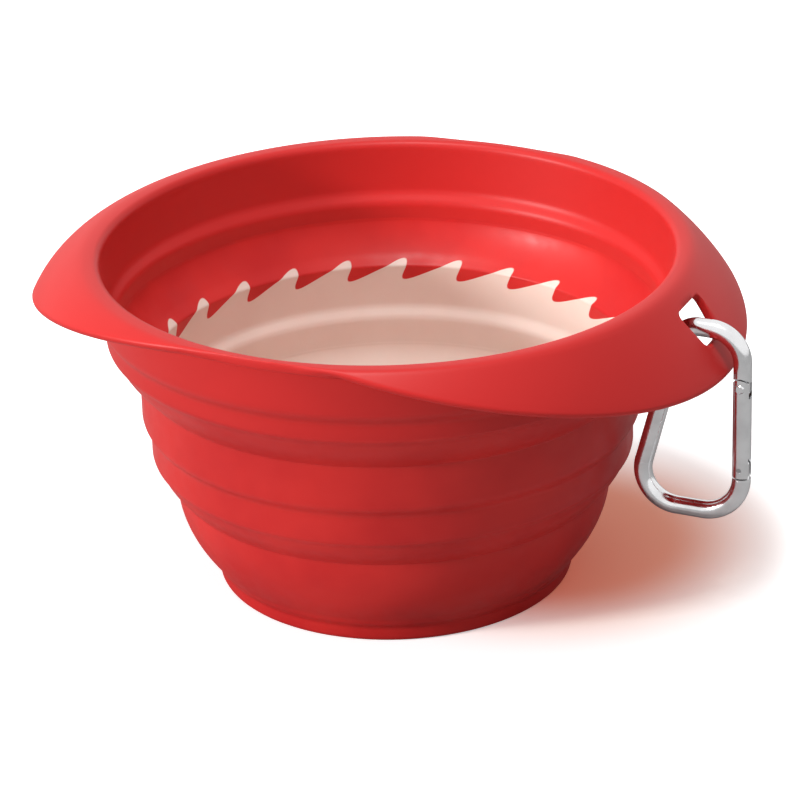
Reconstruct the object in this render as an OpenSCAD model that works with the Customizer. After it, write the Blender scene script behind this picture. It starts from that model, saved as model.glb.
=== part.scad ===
// Collapsible silicone travel bowl with a small snap hook on one ear.
// Three firm tiers are joined by thin fold webs, so the lower tiers push up into the rim.
// Millimetres. Z is up, the origin is the middle of the foot, +X points to the ear with the hook.

/* [Bowl] */
// inner diameter of the mouth
mouth_d = 136; // [126:1:150]
// height from the table to the top of the lip
bowl_h = 83; // [80:0.5:90]
// width of the flat lip
lip_w = 4.2; // [3.8:0.1:4.8]
// wall thickness of the firm tiers
wall = 2.4; // [2:0.1:2.7]
// thickness of the fold webs
web_t = 1.3; // [1:0.1:1.5]
// thickness of the floor
floor_t = 3; // [2.4:0.1:3.6]
// diameter of the foot
foot_d = 86; // [80:1:89]

/* [Tiers] */
// depth of the upper band under the lip top
upper_h = 13; // [11.5:0.5:14]
// radius that the upper band loses from its top to its step
upper_taper = 1.2; // [0.8:0.1:2]
// height of the shoulder between a band and the ring under it
step_h = 2.4; // [1.8:0.1:3]
// radius lost at each shoulder
step_in = 1.9; // [1.4:0.1:2.2]
// height of the ring under the upper band
upper_ring_h = 3.8; // [3:0.1:5]
// height that the upper fold web spans
upper_web_h = 10.7; // [9.5:0.1:11.5]
// radius lost across the upper fold web
upper_web_run = 7.4; // [7:0.1:8.2]
// height of the middle band
middle_h = 10.5; // [9:0.5:12]
// height of the ring under the middle band
middle_ring_h = 6.6; // [5:0.1:7.5]
// height that the lower fold web spans
lower_web_h = 9; // [8:0.1:10]
// radius lost across the lower fold web
lower_web_run = 5.6; // [5.4:0.1:6.4]
// how far each web bows outwards
web_bow = 0.9; // [0.4:0.1:1.2]

/* [Skirt and ears] */
// length of the free ear, past the flat lip
ear_l = 23.2; // [22.4:0.1:24]
// length of the hook ear, past the flat lip
hook_ear_l = 24.7; // [23:0.1:27]
// thickness of the skirt
skirt_t = 2.2; // [2:0.1:2.5]
// radius of the free ear's drooping curve
droop_r = 22; // [20:0.5:26]
// slope of the free ear where it leaves the lip, in degrees
droop_start = 20; // [16:1:22]
// radius of the hook ear's curve, which the hook pulls straighter
hook_droop_r = 60; // [52:1:80]
// slope of the hook ear where it leaves the lip, in degrees
hook_droop_start = 43; // [40:1:45]
// angle from the middle of an ear to where its edge runs into the lip, in degrees
ear_span = 82; // [74:1:86]
// length of the ear hole down the slope
hole_l = 10.5; // [9.8:0.1:11.5]
// width of the ear hole at its lip side
hole_w = 14; // [12:0.5:15]
// width of the ear hole at its outer side
hole_w_out = 8.9; // [8:0.1:10]
// width of the strip of skirt that the hook hangs from
strip_w = 9.5; // [9:0.1:10]
// distance from the hole to the line that the hook swings about
strip_in = 2.8; // [2.6:0.1:3]

/* [Snap hook] */
// diameter of the hook's rod and of its gate
rod_d = 4.4; // [4.2:0.1:4.6]
// distance from the line of the swing to the middle of the gate
gate_x = 6.4; // [6.2:0.1:7]
// lean of the spine from level, in degrees
spine_lean = 75; // [73:1:76]
// width of the hook at its crown, from the middle of the gate to the middle of the spine
crown_w = 14.5; // [14:0.1:15]
// height of the hook's crown above its reach round the strip
crown_h = 0.3; // [0.2:0.1:0.8]
// drop from the crown to the gate's hinge
hinge_drop = 13.2; // [12.7:0.1:13.7]
// length of the gate from its hinge to its free end
gate_l = 22.8; // [22:0.2:25]
// bend radius between the nose and the lower end
nose_bend = 9.6; // [8.8:0.1:10]
// thickness of the two tongues
tongue_t = 1.4; // [1.2:0.1:1.6]
// diameter of the hinge rivet
rivet_d = 1.3; // [1.1:0.1:1.4]
// diameter of the latch pin
latch_d = 1.2; // [1:0.1:1.3]
// curls of the gate spring
spring_turns = 9; // [7:1:10]

/* [Clearances] */
// gap between the strip and the hook, all round
hook_play = 0.35; // [0.3:0.05:0.5]
// gap between parts of the hook that pass each other
pass_gap = 0.35; // [0.3:0.05:0.45]
// radial clearance of the rivet in the hook's tongue
run_gap = 0.05; // [0.02:0.01:0.08]
// gap between a web and the tier that it folds against
fold_gap = 0.25; // [0.2:0.05:0.35]

/* [Hidden] */
$fn = 96;
mouth_r = mouth_d / 2;
lip_out = mouth_r + lip_w;
foot_r = foot_d / 2;

// heights of the tiers, from the top down
z_shoulder = bowl_h - upper_h;
z_ring = z_shoulder - step_h;
z_web = z_ring - upper_ring_h;
z_mid = z_web - upper_web_h;
z_mid_shoulder = z_mid - middle_h;
z_mid_ring = z_mid_shoulder - step_h;
z_low_web = z_mid_ring - middle_ring_h;
z_base = z_low_web - lower_web_h;

// outer radii of the tiers
band_r = mouth_r + wall;
shoulder_r = band_r - upper_taper;
ring_r = shoulder_r - step_in;
mid_r = ring_r - upper_web_run;
mid_ring_r = mid_r - step_in;
base_r = mid_ring_r - lower_web_run;

// each ear follows an arc that starts at the end of the flat lip
function degrees(len, r) = len / r * 180 / PI;
function arc_centre(r, a) = [lip_out, bowl_h] - (r + skirt_t / 2) * [sin(a), cos(a)];
function on_arc(c, r, a) = c + r * [sin(a), cos(a)];
free_c = arc_centre(droop_r, droop_start);
free_end = droop_start + degrees(ear_l, droop_r);
hook_c = arc_centre(hook_droop_r, hook_droop_start);
hook_end = hook_droop_start + degrees(hook_ear_l, hook_droop_r);
hole_a = hook_end - degrees(strip_w + hole_l / 2, hook_droop_r);
strip = on_arc(hook_c, hook_droop_r, hook_end - degrees(strip_w - strip_in, hook_droop_r));
hole = on_arc(hook_c, hook_droop_r, hole_a);
lip_seat = 0.8;
end_trim = 0.4;
side_lip = band_r + 0.5;
ear_seat = 0.3;

// the hook in its own plane, measured from the line that it swings about
rod_r = rod_d / 2;
strip_reach = norm([strip_in, skirt_t / 2]);
side_c = strip_reach + hook_play + rod_r;
top_c = side_c + crown_h;
pin_z = top_c - hinge_drop;
nose_z = pin_z - gate_l - pass_gap;
nose_l = 0.4;
low_c = nose_z - nose_l - nose_bend;
hook_h = top_c - low_c + rod_d;
spine_dir = [cos(spine_lean), sin(spine_lean)];
left_x = gate_x - crown_w;
spine_x = left_x - (hook_h - rod_d) * spine_dir.x / spine_dir.y;
bend_a = 7.6;
bend_c = 8.4;
bend_d = 5;
latch_z = pin_z - gate_l + 2.1;
tongue_w = 3.4;
slot_t = tongue_t + 2 * pass_gap;
heel = 2.3;
bore_d = 2.6;
bore_top = pin_z - heel - pass_gap;
bore_l = 13.4;
plunger_d = bore_d - 0.2;
plunger_l = 2.2;
wire_d = 0.4;
spring_l = bore_l - plunger_l - 2 * 0.15;

red = [0.80, 0.15, 0.14];
silver = [0.76, 0.77, 0.78];
steel = [0.62, 0.63, 0.64];

function unit(v) = v / norm(v);
// points of a fillet of radius r at corner b
function corner(a, b, c, r, n) =
    let (u = unit(a - b), v = unit(c - b), half = acos(u * v) / 2)
    let (p = b + u * r / tan(half), m = b + unit(u + v) * r / sin(half))
    let (q = b + v * r / tan(half))
    let (a0 = atan2(p.y - m.y, p.x - m.x), a1 = atan2(q.y - m.y, q.x - m.x))
    let (turn = (a1 - a0 + 540) % 360 - 180)
    r <= 0 ? [b] : [for (i = [0:n]) m + r * [cos(a0 + turn * i / n), sin(a0 + turn * i / n)]];
// an outline with its corners rounded
function rounded(pts, rads, n = 4) =
    let (k = len(pts))
    [for (i = [0:k - 1]) each corner(pts[(i + k - 1) % k], pts[i], pts[(i + 1) % k], rads[i], n)];
// points from p to q on an arc that bows by h to the left of the line
function bowed(p, q, h, n) =
    let (side = unit([p.y - q.y, q.x - p.x]))
    [for (i = [0:n]) let (s = i / n) p + (q - p) * s + side * h * 4 * s * (1 - s)];

// bowed sheet from p down to q, cut level at both ends
module arc_sheet(p, q, bow, t) {
    chord = norm(q - p);
    r = (chord * chord / 4 + bow * bow) / (2 * bow);
    out = unit([p.y - q.y, q.x - p.x]);
    mid = (p + q) / 2 - out * (r - bow);
    intersection() {
        translate(mid) difference() {
            circle(r + t / 2);
            circle(r - t / 2);
        }
        translate([min(p.x, q.x) - 5, q.y]) square([abs(p.x - q.x) + 10, p.y - q.y]);
    }
}

// rod along a path of straight runs and bends, in the XZ plane; runs reach a little into the bends
module rod_run(p, q, seat_p = 0.4, seat_q = 0.4) {
    d = q - p;
    translate([p.x, 0, p.y]) rotate([0, atan2(d.x, d.y), 0]) translate([0, 0, -seat_p])
        cylinder(r = rod_r - 0.04, h = norm(d) + seat_p + seat_q, $fn = 40);
}
module rod_bend(a, b, c, r) {
    u = unit(a - b);
    v = unit(c - b);
    half = acos(u * v) / 2;
    m = b + unit(u + v) * r / sin(half);
    p = b + u * r / tan(half) - m;
    q = b + v * r / tan(half) - m;
    a0 = atan2(p.y, p.x);
    turn = (atan2(q.y, q.x) - a0 + 540) % 360 - 180;
    translate([m.x, 0, m.y]) rotate([90, 0, 0]) rotate([0, 0, turn < 0 ? a0 + turn : a0])
        rotate_extrude(angle = abs(turn)) translate([r, 0]) circle(rod_r, $fn = 40);
}
function reach(a, b, c, r) = r / tan(acos(unit(a - b) * unit(c - b)) / 2);

// places a piece of the hook in the bowl's frame
module on_ear() {
    translate([strip.x, 0, strip.y]) children();
}
// flat plate in the plane of the hook, centred on y = 0
module plate(t) {
    rotate([90, 0, 0]) linear_extrude(t, center = true) children();
}

// section of the upper tier: band, shoulder and ring
module rim_section() {
    polygon(rounded([
        [mouth_r, bowl_h], [band_r, bowl_h], [shoulder_r, z_shoulder], [ring_r, z_ring],
        [ring_r, z_web], [ring_r - wall, z_web], [ring_r - wall, z_ring], [shoulder_r - wall, z_shoulder]
    ], [1.3, 0, 1.2, 0.8, 0, 0, 1.2, 0.8], 4));
}

// ear on the +X side: a sheet bent along an arc, with a round edge that runs into the lip
module ear(c, r, end) {
    tip = on_arc(c, r + skirt_t / 2, end).x - end_trim;
    round_c = (tip * tip - side_lip * side_lip) / (2 * (tip - side_lip * cos(ear_span)));
    intersection() {
        rotate([0, 0, -90]) rotate_extrude(angle = 180) intersection() {
            translate(c) difference() {
                circle(r + skirt_t / 2, $fn = 180);
                circle(r - skirt_t / 2, $fn = 180);
            }
            polygon([c, on_arc(c, 2 * r, 0), on_arc(c, 2 * r, end)]);
            translate([band_r - ear_seat, c.y]) square([tip, bowl_h - c.y]);
        }
        translate([round_c, 0, bowl_h - 50]) cylinder(r = tip - round_c, h = 60, $fn = 180);
    }
}

// flat lip that runs out to two ears
module skirt() {
    rotate_extrude() translate([band_r - lip_seat, bowl_h - skirt_t])
        square([side_lip - band_r + lip_seat, skirt_t]);
    ear(hook_c, hook_droop_r, hook_end);
    mirror([1, 0, 0]) ear(free_c, droop_r, free_end);
}

// ear hole: a rounded trapezoid cut square to the skirt
module ear_hole() {
    translate([hole.x, 0, hole.y]) rotate([0, hole_a, 0]) linear_extrude(12, center = true)
        polygon(rounded([
            [-hole_l / 2, -hole_w / 2], [hole_l / 2, -hole_w_out / 2],
            [hole_l / 2, hole_w_out / 2], [-hole_l / 2, hole_w / 2]
        ], [2.4, 2.4, 2.4, 2.4], 5));
}

module rim() {
    color(red) difference() {
        union() {
            rotate_extrude() rim_section();
            skirt();
        }
        ear_hole();
    }
}

module upper_web() {
    color(red) rotate_extrude()
        arc_sheet([ring_r - wall / 2, z_web], [mid_r - wall / 2, z_mid + fold_gap], web_bow, web_t);
}

module middle_band() {
    color(red) rotate_extrude() polygon(rounded([
        [mid_r, z_mid], [mid_r, z_mid_shoulder], [mid_ring_r, z_mid_ring], [mid_ring_r, z_low_web],
        [mid_ring_r - wall, z_low_web], [mid_ring_r - wall, z_mid_ring],
        [mid_r - wall, z_mid_shoulder], [mid_r - wall, z_mid]
    ], [0.5, 1.2, 0.8, 0, 0, 1.2, 0.8, 0.5], 3));
}

module lower_web() {
    color(red) rotate_extrude()
        arc_sheet([mid_ring_r - wall / 2, z_low_web], [base_r - wall / 2, z_base + fold_gap], web_bow, web_t);
}

// cup that closes the bowl, with a stepped foot
module base_cup() {
    knee = [foot_r + 1.6, 5.4];
    outer = bowed([base_r, z_base], knee, 1.9, 8);
    inner = bowed([foot_r - 2.2, floor_t + 3.6], [base_r - wall, z_base], -1.9, 8);
    foot = rounded([knee, [foot_r, 3.6], [foot_r, 0], [foot_r - 8, 0]], [0, 0.6, 1.4, 0], 3);
    well = rounded([[0, floor_t], [foot_r - 3.2, floor_t], inner[0]], [0, 2.4, 0], 4);
    color(red) rotate_extrude() polygon(concat(
        [for (i = [0:7]) outer[i]], foot, [[0, 0]],
        [for (i = [0:len(well) - 2]) well[i]], inner
    ));
}

// bent rod of the snap hook, with a tongue at its hinge end and at its nose
module hook() {
    a = [gate_x, top_c];
    b = [gate_x, low_c];
    c = [spine_x, low_c];
    d = [left_x, top_c];
    hinge = [gate_x, pin_z];
    nose = [gate_x, nose_z];
    ta = reach(hinge, a, d, bend_a);
    tb = reach(c, b, nose, nose_bend);
    tc = reach(d, c, b, bend_c);
    td = reach(a, d, c, bend_d);
    color(silver) on_ear() difference() {
        union() {
            difference() {
                union() {
                    rod_run(hinge, a - [0, ta], 0);
                    rod_bend(hinge, a, d, bend_a);
                    rod_run(a - [ta, 0], d + [td, 0]);
                    rod_bend(a, d, c, bend_d);
                    rod_run(d + unit(c - d) * td, c + unit(d - c) * tc);
                    rod_bend(d, c, b, bend_c);
                    rod_run(c + [tc, 0], b - [tb, 0]);
                    rod_bend(c, b, nose, nose_bend);
                    rod_run(b + [0, tb], nose, 0.4, 0);
                }
                translate([gate_x, 0, pin_z]) rotate([90, 0, 0])
                    cylinder(r = rod_r + pass_gap, h = rod_d + 2, center = true);
            }
            plate(tongue_t) polygon(rounded([
                [gate_x - tongue_w / 2, pin_z - heel + 0.3], [gate_x + tongue_w / 2, pin_z - heel + 0.3],
                [gate_x + tongue_w / 2, pin_z + 4], [gate_x - tongue_w / 2, pin_z + 4]
            ], [0.7, 0.7, 0, 0]));
            plate(tongue_t) polygon(rounded([
                [gate_x - tongue_w / 2, nose_z - 2], [gate_x + tongue_w / 2, nose_z - 2],
                [gate_x + tongue_w / 2, nose_z + 4], [gate_x - tongue_w / 2, nose_z + 4]
            ], [0, 0, 0.9, 0.9]));
        }
        translate([gate_x, 0, pin_z]) rotate([90, 0, 0])
            cylinder(r = rivet_d / 2 + run_gap, h = rod_d + 2, center = true, $fn = 32);
        plate(tongue_t + 1) polygon(rounded([
            [gate_x - rod_d, latch_z - latch_d / 2 - pass_gap], [gate_x + 1.0, latch_z - latch_d / 2 - pass_gap],
            [gate_x + 1.0, latch_z + latch_d / 2 + pass_gap], [gate_x - rod_d, latch_z + latch_d / 2 + pass_gap]
        ], [0, 0.5, 0.5, 0]));
    }
}

// straight gate: forked at both ends, bored for its spring
module gate() {
    low = pin_z - gate_l;
    color(silver) on_ear() difference() {
        union() {
            translate([gate_x, 0, low]) cylinder(r = rod_r, h = gate_l, $fn = 40);
            intersection() {
                translate([gate_x, 0, pin_z - 0.5]) cylinder(r = rod_r, h = rod_d, $fn = 40);
                translate([gate_x, 0, pin_z]) rotate([90, 0, 0]) cylinder(r = rod_r, h = rod_d, center = true);
            }
        }
        translate([gate_x - rod_d, -slot_t / 2, bore_top]) cube([2 * rod_d, slot_t, rod_d * 2]);
        translate([gate_x - rod_d, -slot_t / 2, low - 1]) cube([2 * rod_d, slot_t, 5.6 + pass_gap]);
        translate([gate_x, 0, bore_top - bore_l]) cylinder(d = bore_d, h = bore_l + 1, $fn = 32);
        translate([gate_x, 0, pin_z]) rotate([90, 0, 0]) {
            cylinder(d = rivet_d, h = rod_d + 2, center = true, $fn = 32);
            for (s = [-1, 1]) translate([0, 0, s * (rod_r + 0.7)])
                cylinder(d = rivet_d + 1, h = 2, center = true, $fn = 32);
        }
        translate([gate_x, 0, latch_z]) rotate([90, 0, 0])
            cylinder(d = latch_d, h = rod_d + 2, center = true, $fn = 32);
    }
}

module hinge_rivet() {
    color(silver) on_ear() translate([gate_x, 0, pin_z]) rotate([90, 0, 0]) {
        cylinder(d = rivet_d, h = rod_d - 0.6, center = true, $fn = 32);
        for (s = [0, 1]) mirror([0, 0, s]) translate([0, 0, rod_r - 0.3])
            cylinder(d1 = rivet_d + 1, d2 = rivet_d + 0.3, h = 0.45, $fn = 32);
    }
}

module latch_pin() {
    color(steel) on_ear() translate([gate_x, 0, latch_z]) rotate([90, 0, 0])
        cylinder(d = latch_d, h = rod_d - 0.2, center = true, $fn = 32);
}

// push pin that the spring holds against the hinge tongue
module plunger() {
    color(steel) on_ear() translate([gate_x, 0, bore_top]) union() {
        translate([0, 0, -plunger_l]) cylinder(d = plunger_d, h = plunger_l - 0.2, $fn = 32);
        translate([0, 0, -0.4]) cylinder(d = plunger_d - 0.8, h = 0.45, $fn = 24);
        translate([0, 0, -plunger_l - 1.2]) cylinder(d = plunger_d - 1.4, h = 1.4, $fn = 24);
    }
}

// coil that drives the push pin
coil_r = (bore_d - 0.3 - wire_d) / 2;
coil_steps = spring_turns * 8;
coil_z0 = bore_top - bore_l + 0.15 + wire_d / 2;
coil_rise = spring_l - wire_d;
function coil_at(i) = [coil_r * cos(45 * i), coil_r * sin(45 * i), coil_z0 + coil_rise * i / coil_steps];
function coil_ring(i) =
    let (c = coil_at(i), out = [cos(45 * i), sin(45 * i), 0])
    [for (k = [0:5]) c + wire_d / 2 * (cos(60 * k) * out + sin(60 * k) * [0, 0, 1])];
coil_gap = coil_rise / spring_turns - wire_d;
echo(least_gap_between_curls_mm = coil_gap);
module gate_spring() {
    pts = [for (i = [0:coil_steps]) each coil_ring(i)];
    sides = [for (i = [0:coil_steps - 1], k = [0:5]) let (a = 6 * i + k, b = 6 * i + (k + 1) % 6)
        each [[a, a + 6, b], [b, a + 6, b + 6]]];
    ends = concat([for (k = [1:4]) [0, k, k + 1]],
        [for (k = [1:4]) [6 * coil_steps, 6 * coil_steps + k + 1, 6 * coil_steps + k]]);
    color(steel) on_ear() translate([gate_x, 0, 0]) polyhedron(pts, concat(sides, ends));
}

rim();
upper_web();
middle_band();
lower_web();
base_cup();
hook();
gate();
hinge_rivet();
latch_pin();
plunger();
gate_spring();
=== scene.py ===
"""Looks of a collapsible silicone bowl with a snap hook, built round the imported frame."""

from __future__ import annotations

import logging
import math
from dataclasses import dataclass, field
from enum import Enum

import bmesh
import bpy
from mathutils import Matrix, Vector

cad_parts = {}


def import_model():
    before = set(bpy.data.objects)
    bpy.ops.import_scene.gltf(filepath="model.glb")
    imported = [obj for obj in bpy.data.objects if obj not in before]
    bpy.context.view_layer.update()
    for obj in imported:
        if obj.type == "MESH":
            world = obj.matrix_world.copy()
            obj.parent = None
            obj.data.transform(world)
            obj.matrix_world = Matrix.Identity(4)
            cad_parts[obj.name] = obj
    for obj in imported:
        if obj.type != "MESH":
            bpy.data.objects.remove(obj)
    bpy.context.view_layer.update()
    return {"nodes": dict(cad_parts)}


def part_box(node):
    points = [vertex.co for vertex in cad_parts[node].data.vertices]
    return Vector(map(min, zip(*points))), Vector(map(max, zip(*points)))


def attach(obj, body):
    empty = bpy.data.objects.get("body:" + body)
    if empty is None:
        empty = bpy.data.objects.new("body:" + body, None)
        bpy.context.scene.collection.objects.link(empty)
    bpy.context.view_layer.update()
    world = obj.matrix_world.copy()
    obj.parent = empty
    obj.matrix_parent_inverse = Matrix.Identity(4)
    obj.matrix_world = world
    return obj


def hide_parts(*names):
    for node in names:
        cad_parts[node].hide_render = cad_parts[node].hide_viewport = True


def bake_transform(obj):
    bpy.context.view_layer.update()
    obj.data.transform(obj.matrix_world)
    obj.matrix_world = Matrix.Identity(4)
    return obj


LOG = logging.getLogger("bowl")
MM = 0.001
REST = "rest_place"
SHARP = math.radians(38)  # edges with a larger angle are drawn sharp
TILT = 0.12  # faces that lean farther than this into the bowl take the lining
NEAR = 1e-4  # millimetres
SENSOR = 36.0  # width of the camera's sensor, in millimetres
UP = Vector((0, 0, 1))
RANGE_KEYS = ("From Min", "From Max", "To Min", "To Max")
Colour = tuple[float, float, float, float]


class Body(Enum):
    """Bodies of the frame that pieces ride on."""

    RIM = "rim"
    MIDDLE = "middle"
    BASE = "base"
    GATE = "gate"


class Ear(Enum):
    """The two ears of the lip, by the side of the bowl they stand on."""

    HOOK = 1
    FREE = -1


class Side(Enum):
    """Material slots of a tier."""

    OUTER = 0
    INNER = 1


class Ease(Enum):
    """Ways a value runs from one end of a range to the other."""

    EVEN = "LINEAR"
    SMOOTH = "SMOOTHSTEP"


@dataclass(frozen=True)
class Corner:
    """One corner of a tier's section, in millimetres.

    Args:
        r: Distance from the bowl's axis.
        z: Height above the foot.
        cut: Length taken off both edges when the corner is rounded.
    """

    r: float
    z: float
    cut: float = 0.0


class Tree:
    """Small helper round a node tree."""

    def __init__(self, tree: bpy.types.NodeTree) -> None:
        """Empties the tree.

        Args:
            tree: Tree of a material or a world.
        """
        self.tree = tree
        self.tree.nodes.clear()

    def add(self, kind: str, **settings: object) -> bpy.types.Node:
        """Adds a node.

        Args:
            kind: Node type.
            settings: Properties to set on the node.

        Returns:
            The new node.
        """
        node = self.tree.nodes.new(kind)
        for key, value in settings.items():
            setattr(node, key, value)
        return node

    def put(self, value: object, socket: bpy.types.NodeSocket) -> None:
        """Gives a socket its value.

        Args:
            value: A constant, or a socket to link.
            socket: The socket that takes it.
        """
        if isinstance(value, bpy.types.NodeSocket):
            self.tree.links.new(value, socket)
        else:
            socket.default_value = value

    def math(self, operation: str, a: object, b: object = None) -> bpy.types.NodeSocket:
        """Adds a Math node.

        Args:
            operation: Name of the operation.
            a: First value, a number or a socket.
            b: Second value, a number or a socket.

        Returns:
            The result's socket.
        """
        node = self.add("ShaderNodeMath", operation=operation)
        for socket, value in zip(node.inputs, (a, b)):
            if value is not None:
                self.put(value, socket)
        return node.outputs[0]

    def ramp(
        self, value: bpy.types.NodeSocket, span: tuple[float, float],
        to: tuple[object, object] = (0.0, 1.0), ease: Ease = Ease.SMOOTH,
    ) -> bpy.types.NodeSocket:
        """Maps a value from one range to another.

        Args:
            value: Socket to map.
            span: Start and end of the source range.
            to: Results at the start and the end, numbers or sockets.
            ease: How the value runs between them.

        Returns:
            The result's socket.
        """
        node = self.add("ShaderNodeMapRange", interpolation_type=ease.value)
        for key, number in zip(RANGE_KEYS, (*span, *to)):
            self.put(number, node.inputs[key])
        self.put(value, node.inputs["Value"])
        return node.outputs[0]

    def seen(self, path: bpy.types.Node) -> bpy.types.NodeSocket:
        """Returns 1 for rays from the camera, straight or through glass, and 0 for others."""
        return self.math("MAXIMUM", path.outputs["Is Camera Ray"], path.outputs["Is Transmission Ray"])


class Graph(Tree):
    """A material's node tree with its main shader."""

    def __init__(self, name: str) -> None:
        """Makes an empty material with an output and a main shader.

        Args:
            name: Name of the material.
        """
        self.material = bpy.data.materials.new(name)
        self.material.use_nodes = True
        super().__init__(self.material.node_tree)
        self.shader = self.add("ShaderNodeBsdfPrincipled")
        self.put(self.shader.outputs[0], self.add("ShaderNodeOutputMaterial").inputs["Surface"])

    def mix(self, factor: bpy.types.NodeSocket, a: object, b: object) -> bpy.types.NodeSocket:
        """Mixes two colours.

        Args:
            factor: Socket with the share of the second colour.
            a: First colour, or its socket.
            b: Second colour, or its socket.

        Returns:
            The colour's socket.
        """
        node = self.add("ShaderNodeMix", data_type="RGBA")
        for index, value in ((0, factor), (6, a), (7, b)):
            self.put(value, node.inputs[index])
        return node.outputs[2]

    def noise(
        self, place: bpy.types.NodeSocket, scale: float, detail: float = 2.0
    ) -> bpy.types.NodeSocket:
        """Adds a noise texture.

        Args:
            place: Socket with the coordinates.
            scale: Waves per metre.
            detail: Octaves.

        Returns:
            The noise's value.
        """
        node = self.add("ShaderNodeTexNoise")
        for key, value in (("Vector", place), ("Scale", scale), ("Detail", detail)):
            self.put(value, node.inputs[key])
        return node.outputs[0]

    def bump(self, height: bpy.types.NodeSocket, strength: float, distance: float) -> None:
        """Gives the main shader a bump.

        Args:
            height: Socket with the height.
            strength: Share of the bump that shows.
            distance: Depth in metres.
        """
        node = self.add("ShaderNodeBump")
        for key, value in (("Height", height), ("Strength", strength), ("Distance", distance)):
            self.put(value, node.inputs[key])
        self.set(Normal=node.outputs[0])

    def rest_place(self) -> bpy.types.NodeSocket:
        """Returns the place that a point of a soft piece has at rest."""
        return self.add("ShaderNodeAttribute", attribute_name=REST).outputs["Vector"]

    def object_place(self) -> bpy.types.NodeSocket:
        """Returns the Object coordinates."""
        return self.add("ShaderNodeTexCoord").outputs["Object"]

    def set(self, **values: object) -> None:
        """Gives the main shader's own sockets their constants or links."""
        for key, value in values.items():
            self.put(value, self.shader.inputs[key.replace("_", " ")])


@dataclass(frozen=True)
class RedSilicone:
    """Satin red silicone.

    Args:
        deep: Colour where the pigment is densest.
        bright: Colour where it is thinnest.
        sheen: Smallest and largest roughness.
        cloud: Waves of the pigment per metre.
        smear: Waves of the sheen per metre.
        grain: Waves of the moulded grain per metre.
        depth: Depth of the grain, in metres.
    """

    deep: Colour = (0.58, 0.016, 0.016, 1.0)
    bright: Colour = (0.68, 0.025, 0.022, 1.0)
    sheen: tuple[float, float] = (0.38, 0.49)
    cloud: float = 38.0
    smear: float = 160.0
    grain: float = 2600.0
    depth: float = 0.00012

    def skin(self, graph: Graph) -> bpy.types.NodeSocket:
        """Adds the moulded skin: cloudy pigment, uneven sheen and a fine grain.

        Args:
            graph: Graph of the material.

        Returns:
            Socket with the red.
        """
        place = graph.rest_place()
        thin = graph.ramp(graph.noise(place, self.cloud, detail=3.0), span=(0.3, 0.7))
        uneven = graph.noise(place, self.smear, detail=3.0)
        graph.bump(graph.noise(place, self.grain), strength=0.10, distance=self.depth)
        graph.set(
            Roughness=graph.ramp(uneven, span=(0.3, 0.7), to=self.sheen),
            IOR=1.41, Specular_IOR_Level=0.4,
            Subsurface_Weight=0.08, Subsurface_Scale=0.004, Subsurface_Radius=(1.0, 0.25, 0.18),
        )
        return graph.mix(thin, self.deep, self.bright)

    def material(self) -> bpy.types.Material:
        """Makes the plain red material.

        Returns:
            The material.
        """
        graph = Graph("red_silicone")
        graph.set(Base_Color=self.skin(graph))
        return graph.material


@dataclass(frozen=True)
class BeigeLining:
    """Pale lining of the lower tiers, with a running wave along its upper edge.

    Args:
        pale: Colour of the lining.
        worn: Colour where it is rubbed.
        red: Silicone above the wave.
        waves: Waves round the bowl.
        level: Middle height of the wave's edge, in metres.
        rise: Half of the wave's height, in metres.
        lean: How far a crest leans, in radians of the wave.
        soft: Softness of the edge, as a share of the rise.
        cloud: Waves of the wear per metre.
    """

    pale: Colour = (0.87, 0.725, 0.64, 1.0)
    worn: Colour = (0.84, 0.685, 0.60, 1.0)
    red: RedSilicone = field(default_factory=RedSilicone)
    waves: int = 26
    level: float = 52.4 * MM
    rise: float = 2.5 * MM
    lean: float = 1.5
    soft: float = 0.05
    cloud: float = 60.0

    def material(self) -> bpy.types.Material:
        """Makes the lining: pale below its running wave and red above it.

        Returns:
            The material.
        """
        graph = Graph("beige_lining")
        red = self.red.skin(graph)
        place = graph.rest_place()
        axes = graph.add("ShaderNodeSeparateXYZ")
        graph.put(place, axes.inputs[0])
        turn = graph.math("ARCTAN2", axes.outputs[1], axes.outputs[0])
        height = graph.math("DIVIDE", graph.math("SUBTRACT", axes.outputs[2], self.level), self.rise)
        running = graph.math("MULTIPLY", turn, self.waves)
        leaning = graph.math("MULTIPLY", height, self.lean)
        over = graph.math("SUBTRACT", graph.math("SINE", graph.math("ADD", running, leaning)), height)
        mask = graph.ramp(over, span=(-self.soft, self.soft))
        rubbed = graph.ramp(graph.noise(place, self.cloud, detail=3.0), span=(0.3, 0.75))
        graph.set(Base_Color=graph.mix(mask, red, graph.mix(rubbed, self.pale, self.worn)))
        return graph.material


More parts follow.
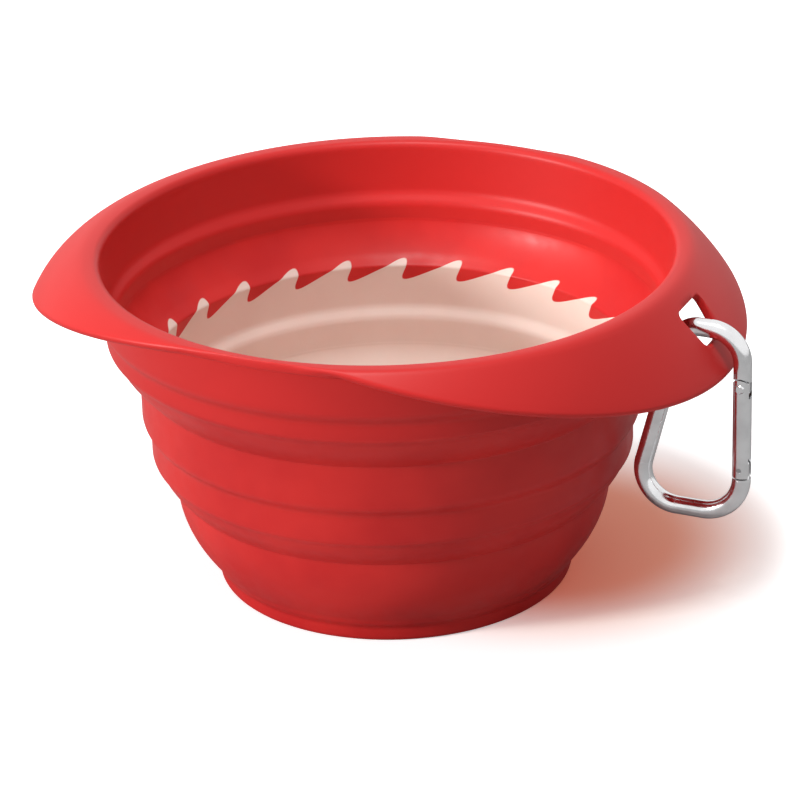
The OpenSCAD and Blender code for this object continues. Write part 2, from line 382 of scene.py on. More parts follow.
@dataclass(frozen=True)
class PolishedAluminium:
    """Drawn and tumbled aluminium of the snap hook.

    Args:
        bright: Clean metal.
        dull: Metal with a film of oxide.
        sheen: Smallest and largest roughness.
        cloud: Waves of the film per metre.
        smear: Waves of the sheen per metre.
        drawn: Waves of the drawing marks per metre, across the rod.
        stretch: Length of a mark across the rod over its length along it.
        depth: Depth of the marks, in metres.
    """

    bright: Colour = (0.86, 0.86, 0.87, 1.0)
    dull: Colour = (0.72, 0.72, 0.73, 1.0)
    sheen: tuple[float, float] = (0.12, 0.26)
    cloud: float = 220.0
    smear: float = 900.0
    drawn: float = 5200.0
    stretch: float = 0.06
    depth: float = 0.00005

    def material(self) -> bpy.types.Material:
        """Makes the metal, with its film of oxide and drawing marks.

        Returns:
            The material.
        """
        graph = Graph("polished_aluminium")
        place = graph.object_place()
        film = graph.ramp(graph.noise(place, self.cloud, detail=4.0), span=(0.35, 0.8))
        uneven = graph.noise(place, self.smear, detail=3.0)
        marks = graph.add("ShaderNodeMapping")
        marks.inputs["Scale"].default_value = (1.0, 1.0, self.stretch)
        graph.put(place, marks.inputs["Vector"])
        graph.bump(graph.noise(marks.outputs[0], self.drawn), strength=0.12, distance=self.depth)
        graph.set(
            Base_Color=graph.mix(film, self.bright, self.dull),
            Roughness=graph.ramp(uneven, span=(0.3, 0.8), to=self.sheen), Metallic=1.0,
        )
        return graph.material


@dataclass(frozen=True)
class PlainSteel:
    """Plain steel of the pins and the spring.

    Args:
        grey: Lighter steel.
        dark: Darker steel.
        sheen: Smallest and largest roughness.
        cloud: Waves of the colour per metre.
        smear: Waves of the sheen per metre.
    """

    grey: Colour = (0.46, 0.46, 0.47, 1.0)
    dark: Colour = (0.30, 0.30, 0.31, 1.0)
    sheen: tuple[float, float] = (0.28, 0.45)
    cloud: float = 700.0
    smear: float = 2500.0

    def material(self) -> bpy.types.Material:
        """Makes the steel, uneven in colour and sheen.

        Returns:
            The material.
        """
        graph = Graph("plain_steel")
        place = graph.object_place()
        uneven = graph.noise(place, self.smear)
        graph.set(
            Base_Color=graph.mix(graph.noise(place, self.cloud, detail=3.0), self.grey, self.dark),
            Roughness=graph.ramp(uneven, span=(0.3, 0.8), to=self.sheen), Metallic=1.0,
        )
        return graph.material


class Finishes:
    """All finishes of the part, made once."""

    def __init__(self) -> None:
        """Makes the materials."""
        self.red = RedSilicone().material()
        self.lining = BeigeLining().material()
        self.metal = PolishedAluminium().material()
        self.steel = PlainSteel().material()


def keep_rest_place(mesh: bpy.types.Mesh) -> None:
    """Stores each point's place at rest as an attribute.

    Args:
        mesh: Mesh in its final shape.
    """
    attribute = mesh.attributes.new(REST, "FLOAT_VECTOR", "POINT")
    values = [0.0] * (3 * len(mesh.vertices))
    mesh.vertices.foreach_get("co", values)
    attribute.data.foreach_set("vector", values)


def piece(name: str, bm: bmesh.types.BMesh, materials: list[bpy.types.Material]) -> bpy.types.Object:
    """Makes an object at the origin from a bmesh, smooth shaded.

    Args:
        name: Name of the piece.
        bm: The shape, freed here.
        materials: Material slots.

    Returns:
        The new object.
    """
    mesh = bpy.data.meshes.new(name)
    bm.to_mesh(mesh)
    bm.free()
    for material in materials:
        mesh.materials.append(material)
    mesh.shade_smooth()
    mesh.set_sharp_from_angle(angle=SHARP)
    keep_rest_place(mesh)
    made = bpy.data.objects.new(name, mesh)
    bpy.context.scene.collection.objects.link(made)
    return made


class Lathe:
    """Turns a closed section round the bowl's axis.

    ROUND is the count of segments in a rounded corner. An edge gets fewer than MOST_CUTS cuts.
    """

    ROUND = 5
    MOST_CUTS = 60

    def __init__(self, corners: list[Corner], pitch: float = 1.0, steps: int = 240) -> None:
        """Draws the section and rounds its corners.

        Args:
            corners: Corners of the section, in order.
            pitch: Longest edge that is left in the section, in millimetres.
            steps: Steps of the spin.
        """
        self.steps = steps
        self.bm = bmesh.new()
        self.bm.faces.new([self.bm.verts.new((c.r * MM, 0.0, c.z * MM)) for c in corners])
        self.bm.verts.ensure_lookup_table()
        cuts = [(vert, corner.cut) for vert, corner in zip(list(self.bm.verts), corners) if corner.cut]
        for vert, cut in cuts:
            bmesh.ops.bevel(
                self.bm, geom=[vert], offset=cut * MM, offset_type="OFFSET", affect="VERTICES",
                segments=self.ROUND, profile=0.5, material=-1,
            )
        bmesh.ops.delete(self.bm, geom=list(self.bm.faces), context="FACES_ONLY")
        length = pitch * MM
        for count in range(1, self.MOST_CUTS):
            edges = [e for e in self.bm.edges if round(e.calc_length() / length) == count + 1]
            if edges:
                bmesh.ops.subdivide_edges(self.bm, edges=edges, cuts=count)

    def bow(self, top: float, bottom: float, depth: float, core: float = 0.0) -> None:
        """Bows the section outwards between two heights.

        Args:
            top: Upper height, in millimetres.
            bottom: Lower height, in millimetres.
            depth: Bow at the middle, in millimetres.
            core: Radius within which nothing is moved, in millimetres.
        """
        for vert in self.bm.verts:
            share = (vert.co.z / MM - bottom) / (top - bottom)
            if 0.0 < share < 1.0 and vert.co.x / MM > core:
                vert.co.x += depth * MM * 4.0 * share * (1.0 - share)

    def spin(self) -> bmesh.types.BMesh:
        """Spins the section once round.

        Returns:
            The closed shape, with normals outwards.
        """
        bmesh.ops.spin(
            self.bm, geom=list(self.bm.verts) + list(self.bm.edges), cent=(0, 0, 0), axis=(0, 0, 1),
            angle=2 * math.pi, steps=self.steps, use_merge=True,
            use_normal_flip=False, use_duplicate=False,
        )
        bmesh.ops.remove_doubles(self.bm, verts=list(self.bm.verts), dist=1e-6)
        bmesh.ops.recalc_face_normals(self.bm, faces=list(self.bm.faces))
        self.bm.normal_update()
        return self.bm


def line_inside(bm: bmesh.types.BMesh, ledge: float) -> None:
    """Gives the faces that look into the bowl the inner material.

    Args:
        bm: A tier below the rim.
        ledge: Radius beyond which a face that looks up is outside, in millimetres.
    """
    for face in bm.faces:
        middle = face.calc_center_median()
        far = middle.to_2d().length
        inward = face.normal.x * middle.x + face.normal.y * middle.y
        inner = inward < -TILT * far or (face.normal.z > TILT and far < ledge * MM)
        face.material_index = Side.INNER.value if inner else Side.OUTER.value


@dataclass
class LipOutline:
    """Flat lip that runs out to two drooping ears, in millimetres.

    Args:
        start: Radius where the lip leaves the band.
        crease: Radius of the crease between the flat lip and the ears.
        top: Height of the lip.
        thick: Thickness of the sheet.
        tips: Reach of each ear from the axis.
        slopes: Slope of each ear at the crease, in degrees.
        arcs: Radius of each ear's droop.
        span: Angle from the middle of an ear to where its edge runs into the lip, in degrees.
        side: Reach of the lip between the ears.
        soft: Half of the crease's width.
        blend: Length over which an ear's edge runs into the lip's.
        step: Length between the points of an ear's section.
        count: Points of an ear's section.
    """

    start: float = 70.6
    crease: float = 72.2
    top: float = 83.0
    thick: float = 2.2
    tips: dict[Ear, float] = field(default_factory=lambda: {Ear.HOOK: 86.2, Ear.FREE: 86.7})
    slopes: dict[Ear, float] = field(default_factory=lambda: {Ear.HOOK: 43.0, Ear.FREE: 20.0})
    arcs: dict[Ear, float] = field(default_factory=lambda: {Ear.HOOK: 61.1, Ear.FREE: 23.1})
    span: float = 82.0
    side: float = 70.9
    soft: float = 1.1
    blend: float = 0.35
    step: float = 0.1
    count: int = 400

    def __post_init__(self) -> None:
        """Works out the section of each ear as points at even steps along the sheet."""
        self.sections: dict[Ear, list[tuple[float, float, float]]] = {}
        for ear in Ear:
            r, z, points = self.start, self.top, []
            for i in range(self.count):
                along = i * self.step - (self.crease - self.start)
                points.append((r, z, self._slope(ear, along)))
                middle = self._slope(ear, along + self.step / 2)
                r += self.step * math.cos(middle)
                z -= self.step * math.sin(middle)
            self.sections[ear] = points

    @staticmethod
    def _ear(turn: float) -> Ear:
        """Returns the ear on that side of the bowl."""
        return Ear.HOOK if math.cos(turn) >= 0 else Ear.FREE

    def _slope(self, ear: Ear, along: float) -> float:
        """Slope of the sheet in radians.

        Args:
            ear: Which ear.
            along: Length along the sheet from the crease, in millimetres.

        Returns:
            The slope, 0 on the flat lip.
        """
        share = min(1.0, max(0.0, (along + self.soft) / (2 * self.soft)))
        eased = share * share * (3 - 2 * share)
        return eased * math.radians(self.slopes[ear]) + max(0.0, along) / self.arcs[ear]

    def reach(self, turn: float) -> float:
        """Reach of the lip from the axis, seen from above.

        Args:
            turn: Angle round the axis, in radians.

        Returns:
            The radius of the outline.
        """
        tip, side = self.tips[self._ear(turn)], self.side
        centre = (tip**2 - side**2) / (2 * (tip - side * math.cos(math.radians(self.span))))
        across = abs(math.cos(turn)) * centre
        edge = across + math.sqrt((tip - centre) ** 2 - centre**2 + across**2)
        return self.blend * math.log(math.exp((edge - side) / self.blend) + 1.0) + side

    def length(self, turn: float) -> float:
        """Length of the sheet from its start to its edge.

        Args:
            turn: Angle round the axis, in radians.

        Returns:
            The length along the section, in millimetres.
        """
        goal = self.reach(turn)
        points = self.sections[self._ear(turn)]
        for i in range(1, len(points)):
            if points[i][0] >= goal:
                share = (goal - points[i - 1][0]) / (points[i][0] - points[i - 1][0])
                return (i - 1 + share) * self.step
        return (len(points) - 1) * self.step

    def place(self, turn: float, along: float, depth: float) -> Vector:
        """Place of a point of the drooping sheet.

        Args:
            turn: Angle round the axis, in radians.
            along: Length along the section, in millimetres.
            depth: Depth under the top face, in millimetres.

        Returns:
            The place in metres.
        """
        points = self.sections[self._ear(turn)]
        i = min(len(points) - 2, max(0, int(along / self.step)))
        share = along / self.step - i
        (r0, z0, a0), (r1, z1, a1) = points[i], points[i + 1]
        r, z, slope = r0 + (r1 - r0) * share, z0 + (z1 - z0) * share, a0 + (a1 - a0) * share
        r -= depth * math.sin(slope)
        z -= depth * math.cos(slope)
        return Vector((r * math.cos(turn), r * math.sin(turn), z)) * MM


@dataclass
class EarHole:
    """Rounded hole through the ear that carries the snap hook, in millimetres.

    Args:
        middle: Radius and height of the hole's centre.
        slope: Slope of the sheet there, in degrees.
        length: Length along the slope.
        wide: Width at the inner end.
        narrow: Width at the outer end.
        cut: Length taken off at each corner.
        flare: Rounding of the hole's edges.
        droop: Radius of the sheet's arc.
        arc: Angles of the points on the rounding, in degrees.
        beyond: Heights over the sheet's face where the cutter's last two outlines lie.
        wider: Growth of those outlines, over the rounding.
        corner: Segments of a rounded corner.
    """

    middle: tuple[float, float] = (78.13, 74.84)
    slope: float = 52.5
    length: float = 10.5
    wide: float = 14.0
    narrow: float = 8.9
    cut: float = 2.2
    flare: float = 0.55
    droop: float = 60.0
    arc: tuple[float, ...] = (20.0, 40.0, 60.0, 75.0)
    beyond: tuple[float, float] = (0.3, 1.6)
    wider: float = 1.35
    corner: int = 8

    def cutter(self, thick: float) -> bpy.types.Object:
        """Makes the solid that is taken out of the ear.

        Args:
            thick: Thickness of the sheet.

        Returns:
            The cutter.
        """
        bm = bmesh.new()
        half, wide, narrow = self.length / 2, self.wide / 2, self.narrow / 2
        corners = [(-half, -wide), (half, -narrow), (half, narrow), (-half, wide)]
        bm.faces.new([bm.verts.new((x * MM, y * MM, 0.0)) for x, y in corners])
        for vert in list(bm.verts):
            bmesh.ops.bevel(
                bm, geom=[vert], offset=self.cut * MM, offset_type="OFFSET", affect="VERTICES",
                segments=self.corner, profile=0.5, material=-1,
            )
        face = next(iter(bm.faces))
        levels = self._levels(thick / 2)
        bmesh.ops.translate(bm, verts=list(bm.verts), vec=(0, 0, levels[0][0] * MM))
        self._grow(list(face.verts), levels[0][1])
        last = levels[0]
        for level in levels[1:]:
            made = bmesh.ops.extrude_face_region(bm, geom=[face])
            if last is not levels[0]:
                bmesh.ops.delete(bm, geom=[face], context="FACES_ONLY")
            face = next(g for g in made["geom"] if isinstance(g, bmesh.types.BMFace))
            verts = list(face.verts)
            bmesh.ops.translate(bm, verts=verts, vec=(0, 0, (level[0] - last[0]) * MM))
            self._grow(verts, level[1] - last[1])
            last = level
        for vert in bm.verts:
            vert.co.z -= vert.co.x**2 / (2 * self.droop * MM)
        bmesh.ops.recalc_face_normals(bm, faces=list(bm.faces))
        turn = Matrix.Rotation(math.radians(self.slope), 4, "Y")
        shift = Matrix.Translation((self.middle[0] * MM, 0, self.middle[1] * MM))
        bmesh.ops.transform(bm, matrix=shift @ turn, verts=list(bm.verts))
        return piece("ear_hole_cutter", bm, [])

    def _levels(self, half: float) -> list[tuple[float, float]]:
        """Heights of the cutter with its growth there.

        Args:
            half: Half of the sheet's thickness.

        Returns:
            Pairs of height and growth, from the bottom up.
        """
        flare = self.flare
        side = [(half - flare, 0.0)]
        for a in map(math.radians, self.arc):
            side.append((half - flare + flare * math.sin(a), flare * (1 - math.cos(a))))
        side += [(half + over, flare * self.wider) for over in self.beyond]
        return [(-z, g) for z, g in reversed(side)] + side

    @staticmethod
    def _grow(verts: list[bmesh.types.BMVert], amount: float) -> None:
        """Moves an outline's points outwards by about the same length.

        Args:
            verts: Points of the outline.
            amount: Length in millimetres.
        """
        centre = sum((v.co for v in verts), Vector()) / len(verts)
        for vert in verts:
            flat = vert.co - centre
            if flat.length > 0:
                vert.co += flat.normalized() * amount * MM


@dataclass(frozen=True)
class Shoulder:
    """Step at a tier's lower end, from the shoulder in to the ring, in millimetres.

    Args:
        r: Outer radius at the shoulder.
        z: Height of the shoulder.
        ring_r: Outer radius of the ring.
        ring_z: Height of the ring's upper end.
        web_z: Height where the fold begins.
        wall: Thickness of the wall.
    """

    r: float
    z: float
    ring_r: float
    ring_z: float
    web_z: float
    wall: float = 2.4

    def corners(self) -> list[Corner]:
        """Returns the step's section, down the outside and up the inside."""
        ring_in, inner = self.ring_r - self.wall, self.r - self.wall
        return [
            Corner(self.r, self.z, cut=0.9), Corner(self.ring_r, self.ring_z, cut=0.8),
            Corner(self.ring_r, self.web_z), Corner(ring_in, self.web_z),
            Corner(ring_in, self.ring_z, cut=0.9), Corner(inner, self.z, cut=0.9),
        ]


@dataclass
class Rim:
    """Upper tier: mouth, flat lip with two ears, band, shoulder and ring, in millimetres.

    Args:
        mouth_r: Radius of the mouth.
        band_r: Outer radius of the band, under the lip.
        top: Height of the lip.
        step: The step at the lower end.
        brim: Width of the flat brim before it is laid along the lip.
        edge: Rounding of the lip's edge.
        edge_share: Largest share of the lip's length that the rounding takes.
        outline: The lip's outline.
        hole: The ear hole.
    """

    mouth_r: float = 68.0
    band_r: float = 70.4
    top: float = 83.0
    step: Shoulder = Shoulder(r=69.2, z=70.0, ring_r=67.3, ring_z=67.6, web_z=63.8)
    brim: float = 12.0
    edge: float = 1.05
    edge_share: float = 0.6
    outline: LipOutline = field(default_factory=LipOutline)
    hole: EarHole = field(default_factory=EarHole)

    def build(self, finishes: Finishes) -> bpy.types.Object:
        """Turns the section with a flat brim, droops the brim and cuts the ear hole.

        Args:
            finishes: The part's finishes.

        Returns:
            The rim.
        """
        far = self.outline.start + self.brim + self.edge
        under = self.top - self.outline.thick
        bm = Lathe([
            Corner(self.mouth_r, self.top, cut=1.5), Corner(far, self.top, self.edge),
            Corner(far, under, self.edge), Corner(self.band_r, under, cut=0.15), *self.step.corners(),
        ], pitch=0.8, steps=360).spin()
        self._droop(bm)
        bmesh.ops.recalc_face_normals(bm, faces=list(bm.faces))
        made = piece("rim_shell", bm, [finishes.red])
        self._cut_hole(made)
        return made

    def _droop(self, bm: bmesh.types.BMesh) -> None:
        """Lays the flat brim along the lip's outline and the ears' arcs.

        Args:
            bm: Rim with a flat round brim.
        """
        start, lengths = self.outline.start, {}
        for vert in bm.verts:
            flat = vert.co.to_2d().length / MM
            if flat <= start + NEAR:
                continue
            turn = math.atan2(vert.co.y, vert.co.x)
            key = round(turn, 5)
            if key not in lengths:
                lengths[key] = self.outline.length(turn)
            length = lengths[key]
            edge = min(self.edge, self.edge_share * length)
            past = flat - start - self.brim
            if past <= 0:
                along = (flat - start) / self.brim * (length - edge)
            else:
                along = length - edge + past / self.edge * edge
            vert.co = self.outline.place(turn, along, self.top - vert.co.z / MM)

    def _cut_hole(self, made: bpy.types.Object) -> None:
        """Takes the ear hole out of the rim.

        Args:
            made: The rim.
        """
        cutter = self.hole.cutter(self.outline.thick)
        cut = made.modifiers.new("ear_hole", "BOOLEAN")
        cut.operation, cut.solver, cut.object = "DIFFERENCE", "EXACT", cutter
        graph = bpy.context.evaluated_depsgraph_get()
        mesh = bpy.data.meshes.new_from_object(made.evaluated_get(graph))
        made.modifiers.clear()
        old, made.data = made.data, mesh
        mesh.name = made.name
        bpy.data.meshes.remove(old)
        spare = cutter.data
        bpy.data.objects.remove(cutter)
        bpy.data.meshes.remove(spare)


@dataclass
class Fold:
    """Thin bowed web between two tiers, in millimetres.

    Args:
        name: Name of the piece.
        node: Frame node that it stands for.
        upper: Radius and height of its upper end, on the middle of the sheet.
        lower: Radius and height of its lower end.
        bodies: The bodies that it joins; not used.
        thick: Thickness.
        bow: Bow outwards.
        foot: Half of the tiers' wall, which the web widens to at its ends.
        flat: Height of the upright part at each end.
        flare: Height at each end over which the web widens.
    """

    name: str
    node: str
    upper: tuple[float, float]
    lower: tuple[float, float]
    bodies: tuple[Body, Body]
    thick: float = 1.3
    bow: float = 0.9
    foot: float = 1.2
    flat: float = 0.5
    flare: float = 2.2

    def build(self, finishes: Finishes) -> bpy.types.Object:
        """Turns the bowed web, with both ends widened to the tiers' wall.

        Args:
            finishes: The part's finishes.

        Returns:
            The fold.
        """
        (r0, z0), (r1, z1) = self.upper, self.lower
        half = self.thick / 2 * math.hypot(r0 - r1, z0 - z1) / (z0 - z1)
        lean = (r0 - r1) / (z0 - z1) * self.flare
        sides = []
        for foot, web in ((self.foot, half), (-self.foot, -half)):
            sides.append([
                Corner(r0 + foot, z0), Corner(r0 + foot, z0 - self.flat, cut=0.45),
                Corner(r0 + web - lean, z0 - self.flare, cut=1.0),
                Corner(r1 + web + lean, z1 + self.flare, cut=1.0),
                Corner(r1 + foot, z1 + self.flat, cut=0.45), Corner(r1 + foot, z1),
            ])
        outer, inner = sides
        lathe = Lathe(outer + inner[::-1], pitch=0.6)
        lathe.bow(z0 - self.flat, z1 + self.flat, self.bow)
        bm = lathe.spin()
        line_inside(bm, r1)
        return piece(self.name, bm, [finishes.red, finishes.lining])

    def join(self, made: bpy.types.Object) -> None:
        """Hides the frame's web and bakes the fold's place into its mesh.

        Args:
            made: The fold.
        """
        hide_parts(self.node)
        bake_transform(made)


@dataclass
class MiddleTier:
    """Middle tier with its shoulder and ring, in millimetres.

    Args:
        top: Height of the upper end.
        step: The step at the lower end.
    """

    top: float = 53.1
    step: Shoulder = Shoulder(r=59.9, z=42.6, ring_r=58.0, ring_z=40.2, web_z=33.6)

    def build(self, finishes: Finishes) -> bpy.types.Object:
        """Turns the tier.

        Args:
            finishes: The part's finishes.

        Returns:
            The tier.
        """
        outer, wall = self.step.r, self.step.wall
        section = [Corner(outer, self.top), *self.step.corners(), Corner(outer - wall, self.top)]
        bm = Lathe(section, pitch=0.8).spin()
        line_inside(bm, outer - wall / 2)
        return piece("middle_shell", bm, [finishes.red, finishes.lining])


@dataclass
class BaseCup:
    """Lowest tier with its floor and stepped foot, in millimetres.

    Args:
        top_r: Outer radius at the upper end.
        top: Height of the upper end.
        wall: Thickness of the wall.
        knee: Radius and height where the wall meets the foot.
        foot_r: Radius of the foot.
        foot_z: Height of the foot.
        floor_z: Height of the floor inside.
        heel: Thickness of the foot round the floor.
        well: Radius and height where the inner wall leaves the floor.
        bow: Bow of the wall.
    """

    top_r: float = 52.4
    top: float = 24.6
    wall: float = 2.4
    knee: tuple[float, float] = (44.6, 5.4)
    foot_r: float = 43.0
    foot_z: float = 3.6
    floor_z: float = 3.0
    heel: float = 3.2
    well: tuple[float, float] = (40.8, 6.6)
    bow: float = 1.9

    def build(self, finishes: Finishes) -> bpy.types.Object:
        """Turns the cup, with its two walls bowed.

        Args:
            finishes: The part's finishes.

        Returns:
            The cup.
        """
        lathe = Lathe([
            Corner(self.top_r, self.top), Corner(*self.knee, cut=0.7),
            Corner(self.foot_r, self.foot_z, cut=0.6), Corner(self.foot_r, 0.0, cut=1.2),
            Corner(0.0, 0.0), Corner(0.0, self.floor_z),
            Corner(self.foot_r - self.heel, self.floor_z, cut=2.0), Corner(*self.well),
            Corner(self.top_r - self.wall, self.top),
        ], pitch=0.9)
        lathe.bow(self.top, self.well[1], self.bow, core=30.0)
        bm = lathe.spin()
        line_inside(bm, self.top_r - self.wall / 2)
        return piece("base_shell", bm, [finishes.red, finishes.lining])


def upper_fold() -> Fold:
    """Returns the fold between the rim and the middle tier."""
    return Fold("upper_fold", "upper_web", (66.1, 63.8), (58.7, 53.1), (Body.RIM, Body.MIDDLE))


def lower_fold() -> Fold:
    """Returns the fold between the middle tier and the base."""
    return Fold("lower_fold", "lower_web", (56.8, 33.6), (51.2, 24.6), (Body.MIDDLE, Body.BASE))


@dataclass
class Bowl:
    """The silicone bowl: three tiers and the two folds between them.

    Args:
        rim: Upper tier.
        middle: Middle tier.
        base: Lowest tier.
        upper: Fold under the rim.
        lower: Fold under the middle tier.
    """

    rim: Rim = field(default_factory=Rim)
    middle: MiddleTier = field(default_factory=MiddleTier)
    base: BaseCup = field(default_factory=BaseCup)
    upper: Fold = field(default_factory=upper_fold)
    lower: Fold = field(default_factory=lower_fold)

    def build(self, finishes: Finishes) -> list[bpy.types.Object]:
        """Builds the tiers and folds and joins the tiers to the frame.

        Args:
            finishes: The part's finishes.

        Returns:
            The pieces.
        """
        made = []
        tiers = (
            (self.rim, "rim", Body.RIM), (self.middle, "middle_band", Body.MIDDLE),
            (self.base, "base_cup", Body.BASE),
        )
        for tier, node, body in tiers:
            shell = tier.build(finishes)
            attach(shell, body.value)
            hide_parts(node)
            made.append(shell)
        for fold in (self.upper, self.lower):
            web = fold.build(finishes)
            fold.join(web)
            made.append(web)
        return made


@dataclass
class GateSpring:
    """Round wire coil inside the gate, in millimetres.

    Args:
        wire: Thickness of the wire.
        turns: Curls.
        steps: Steps of the spin in one curl.
        sides: Sides of the wire.
    """

    wire: float = 0.4
    turns: int = 9
    steps: int = 30
    sides: int = 10

    def build(self, finishes: Finishes) -> list[bpy.types.Object]:
        """Spins a ring of wire up the coil and closes its ends.

        Args:
            finishes: The part's finishes.

        Returns:
            The coil.
        """
        low, high = (Vector(corner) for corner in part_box("gate_spring"))
        middle, half = (low + high) / 2, self.wire * MM / 2
        count = self.turns * self.steps
        bm = bmesh.new()
        upright = Matrix.Rotation(math.pi / 2, 4, "X")
        bmesh.ops.create_circle(bm, segments=self.sides, radius=half, matrix=upright)
        bmesh.ops.translate(bm, verts=list(bm.verts), vec=(high.x - half, middle.y, low.z + half))
        bmesh.ops.spin(
            bm, geom=list(bm.verts) + list(bm.edges), cent=middle, axis=(0, 0, 1),
            dvec=(0, 0, (high.z - low.z - 2 * half) / count),
            angle=2 * math.pi * self.turns, steps=count,
        )
        bmesh.ops.holes_fill(bm, edges=[e for e in bm.edges if e.is_boundary])
        bmesh.ops.recalc_face_normals(bm, faces=list(bm.faces))
        made = piece("gate_coil", bm, [finishes.steel])
        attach(made, Body.GATE.value)
        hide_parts("gate_spring")
        return [made]


@dataclass
class SnapHook:
    """The snap hook's metal pieces, which keep the frame's shapes.

    Args:
        bright: Nodes of polished aluminium.
        plain: Nodes of steel.
    """

    bright: tuple[str, ...] = ("hook", "gate", "hinge_rivet")
    plain: tuple[str, ...] = ("latch_pin", "plunger")

    def dress(self, nodes: dict[str, bpy.types.Object], finishes: Finishes) -> list[bpy.types.Object]:
        """Gives the metal nodes their finishes.

        Args:
            nodes: The frame's nodes.
            finishes: The part's finishes.

        Returns:
            The dressed nodes.
        """
        for names, material in ((self.bright, finishes.metal), (self.plain, finishes.steel)):
            for name in names:
                nodes[name].data.materials.clear()
                nodes[name].data.materials.append(material)
        return [nodes[n] for n in self.bright + self.plain]


@dataclass(frozen=True)
class PaleFloor:
    """White floor with one patch of shade beside the bowl, where a shade tint and a red bounce glow
    are painted.

    Args:
        white: Two shades of the bare floor.
        painted_shade_tint: Painted shade colour of the floor in the patch, a yellowish tint that
            stands in for the bowl's bounce light in the shade.
        dim: Colour that lights the part.
        mirrored: Colour that the part reflects.
        painted_bounce_glow: Painted red glow in the patch, standing in for light thrown back by the
            red bowl.
        clear: White glow farther out, which washes the floor's shade out beyond the patch.
        patch: Distances from the patch's middle where it starts to fade and ends, in metres.
        lift: Strength of the glow.
        cloud: Waves of the white per metre.
    """

    white: tuple[Colour, Colour] = ((0.94, 0.94, 0.94, 1.0), (0.96, 0.96, 0.96, 1.0))
    painted_shade_tint: Colour = (0.95, 0.88, 0.66, 1.0)
    dim: Colour = (0.47, 0.46, 0.45, 1.0)
    mirrored: Colour = (0.44, 0.44, 0.44, 1.0)
    painted_bounce_glow: Colour = (0.42, 0.02, 0.0, 1.0)
    clear: Colour = (1.0, 1.0, 1.0, 1.0)
    patch: tuple[float, float] = (0.026, 0.064)
    lift: float = 0.6
    cloud: float = 3.0

    def material(self, middle: Vector) -> bpy.types.Material:
        """Makes the floor's material.

        Args:
            middle: Middle of the patch.

        Returns:
            The material.
        """
        graph = Graph("white_floor")
        path, place = graph.add("ShaderNodeLightPath"), graph.object_place()
        seen = graph.seen(path)
        away = graph.add("ShaderNodeVectorMath", operation="DISTANCE")
        graph.put(place, away.inputs[0])
        graph.put(middle, away.inputs[1])
        far = graph.ramp(away.outputs["Value"], span=self.patch)
        bare = graph.mix(graph.noise(place, self.cloud), *self.white)
        unseen = graph.mix(path.outputs["Is Glossy Ray"], self.dim, self.mirrored)
        # Painted light: for the camera's rays the patch gets a painted shade tint and a painted red
        # bounce glow; farther out a white glow washes out the floor's shade.
        graph.set(
            Base_Color=graph.mix(seen, unseen, graph.mix(far, self.painted_shade_tint, bare)),
            Emission_Color=graph.mix(far, self.painted_bounce_glow, self.clear),
            Emission_Strength=graph.math("MULTIPLY", seen, self.lift),
            Roughness=0.9, Specular_IOR_Level=0.0,
        )
        return graph.material


@dataclass(frozen=True)
class Lamp:
    """Square soft lamp that faces the bowl.

    Args:
        name: Name of the lamp.
        aim: Direction from the bowl to the lamp, as picture right, toward the camera, and up.
        size: Side of the square, in metres.
        level: Light on a face that looks at the lamp, where 1 renders white as white.
        far: Distance, in metres.
        target: Place that the lamp faces.
    """

    name: str
    aim: tuple[float, float, float]
    size: float
    level: float
    far: float = 4.0
    target: tuple[float, float, float] = (0.0, 0.0, 0.05)

    def build(self, right: Vector, toward: Vector) -> None:
        """Makes the lamp.

        Args:
            right: The picture's right, level.
            toward: The way to the camera, level.
        """
        way = (right * self.aim[0] + toward * self.aim[1] + UP * self.aim[2]).normalized()
        data = bpy.data.lights.new(self.name, "AREA")
        data.shape, data.size = "SQUARE", self.size
        data.energy = self.level * (math.pi * self.far) ** 2
        made = bpy.data.objects.new(self.name, data)
        made.location = Vector(self.target) + way * self.far
        made.rotation_mode = "QUATERNION"
        made.rotation_quaternion = way.to_track_quat("Z", "Y")
        bpy.context.scene.collection.objects.link(made)


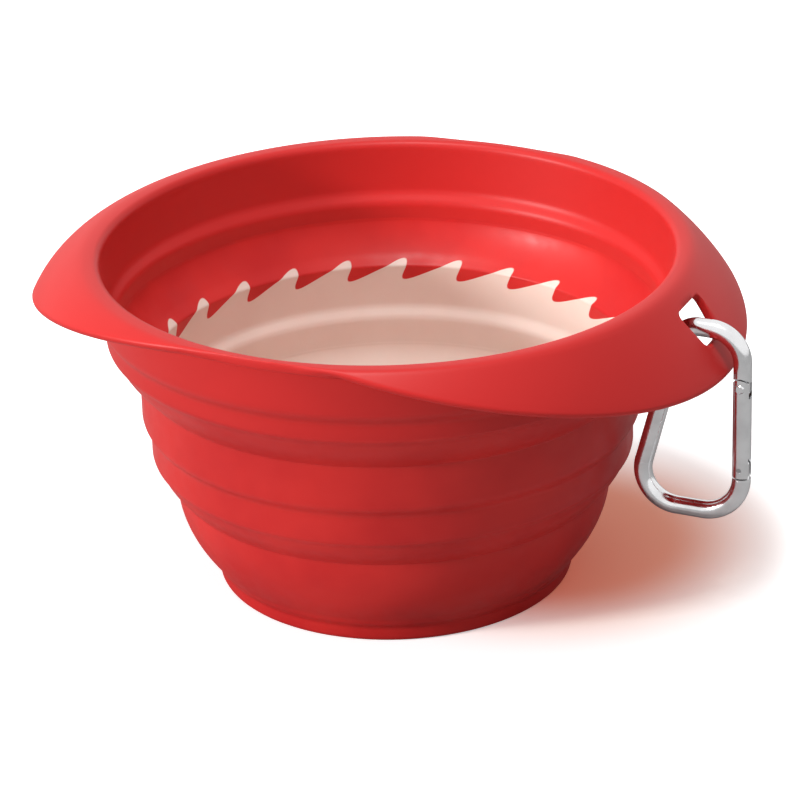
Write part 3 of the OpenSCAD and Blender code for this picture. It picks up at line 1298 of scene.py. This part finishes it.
@dataclass
class Studio:
    """Pale floor, soft lamps and the camera.

    Args:
        azimuth: Angle of the camera round the bowl, in degrees.
        elevation: Angle of the line from the rim's centre to the camera, in degrees.
        roll: Turn of the picture, in degrees.
        away: Distance of the camera from the rim's centre, in metres.
        focal: Focal length in pixels of the picture.
        picture: Width of the picture in pixels.
        centre: Pixel of the rim's centre.
        rim_centre: Place of the rim's centre.
        shade: Middle of the floor's shade, to the picture's right and toward the camera, in metres.
        sky: Light from the horizon and from straight above.
        gloss: Light of the sky in reflections.
        ground: The floor's finish.
        lamps: The lamps.
    """

    azimuth: float = 25.0
    elevation: float = 22.4
    roll: float = 1.76
    away: float = 0.9
    focal: float = 3809.0
    picture: float = 800.0
    centre: tuple[float, float] = (386.8, 245.0)
    rim_centre: tuple[float, float, float] = (0.0, 0.0, 0.083)
    shade: tuple[float, float] = (0.040, -0.008)
    sky: tuple[float, float] = (0.16, 0.53)
    gloss: float = 1.0
    ground: PaleFloor = PaleFloor()
    lamps: tuple[Lamp, ...] = (
        Lamp("key", (-0.17, 0.18, 1.0), size=0.8, level=0.52),
        Lamp("side", (-1.0, 0.4, 0.36), size=0.6, level=0.76),
    )

    def level_axes(self) -> tuple[Vector, Vector]:
        """Returns the picture's right and the way to the camera, both level."""
        a = math.radians(self.azimuth)
        return Vector((math.cos(a), math.sin(a), 0)), Vector((math.sin(a), -math.cos(a), 0))

    def camera(self) -> None:
        """Makes the camera, aimed so that no shift is needed."""
        right, toward = self.level_axes()
        e, r = math.radians(self.elevation), math.radians(self.roll)
        up, back = UP * math.cos(e) - toward * math.sin(e), UP * math.sin(e) + toward * math.cos(e)
        right, up = right * math.cos(r) - up * math.sin(r), right * math.sin(r) + up * math.cos(r)
        dx, dy = self.picture / 2 - self.centre[0], self.centre[1] - self.picture / 2
        forward = (-back * self.focal + right * dx + up * dy).normalized()
        side = forward.cross(up).normalized()
        top = side.cross(forward)
        data = bpy.data.cameras.new("camera")
        data.sensor_width = SENSOR
        data.lens = self.focal * SENSOR / self.picture
        data.clip_start, data.clip_end = 0.01, 50.0
        made = bpy.data.objects.new("camera", data)
        turn = Matrix((side, top, -forward)).transposed().to_4x4()
        made.matrix_world = Matrix.Translation(Vector(self.rim_centre) + back * self.away) @ turn
        bpy.context.scene.collection.objects.link(made)
        bpy.context.scene.camera = made

    def floor(self) -> None:
        """Makes the white floor."""
        right, toward = self.level_axes()
        bm = bmesh.new()
        bmesh.ops.create_circle(bm, cap_ends=True, segments=96, radius=4.0)
        finish = self.ground.material(right * self.shade[0] + toward * self.shade[1])
        made = piece("floor", bm, [finish])

    def world(self) -> None:
        """Makes a white world that lights softly."""
        world = bpy.data.worlds.new("studio")
        bpy.context.scene.world = world
        world.use_nodes = True
        tree = Tree(world.node_tree)
        path, axes = tree.add("ShaderNodeLightPath"), tree.add("ShaderNodeSeparateXYZ")
        tree.put(tree.add("ShaderNodeTexCoord").outputs["Generated"], axes.inputs[0])
        whole = (0.0, 1.0)
        sky = tree.ramp(axes.outputs[2], whole, self.sky, Ease.EVEN)
        shiny = tree.ramp(path.outputs["Is Glossy Ray"], whole, (sky, self.gloss), Ease.EVEN)
        light, out = tree.add("ShaderNodeBackground"), tree.add("ShaderNodeOutputWorld")
        light.inputs["Color"].default_value = (1.0, 1.0, 1.0, 1.0)
        tree.put(tree.ramp(tree.seen(path), whole, (shiny, 1.0), Ease.EVEN), light.inputs["Strength"])
        tree.put(light.outputs[0], out.inputs["Surface"])

    def build(self) -> None:
        """Makes the whole studio."""
        bpy.context.scene.view_settings.view_transform = "Standard"
        self.camera()
        self.floor()
        self.world()
        for lamp in self.lamps:
            lamp.build(*self.level_axes())


def main() -> None:
    """Builds the part round the frame."""
    logging.basicConfig(level=logging.INFO, format="%(name)s: %(message)s")
    for name in ("Cube", "Light", "Camera"):
        spare = bpy.data.objects.get(name)
        if spare is not None:
            bpy.data.objects.remove(spare)
    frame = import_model()
    finishes = Finishes()
    made = Bowl().build(finishes) + GateSpring().build(finishes)
    made += SnapHook().dress(frame["nodes"], finishes)
    for each in made:
        LOG.info("%s: %d faces", each.name, len(each.data.polygons))
    Studio().build()
    bpy.context.view_layer.update()


if __name__ == "__main__":
    main()
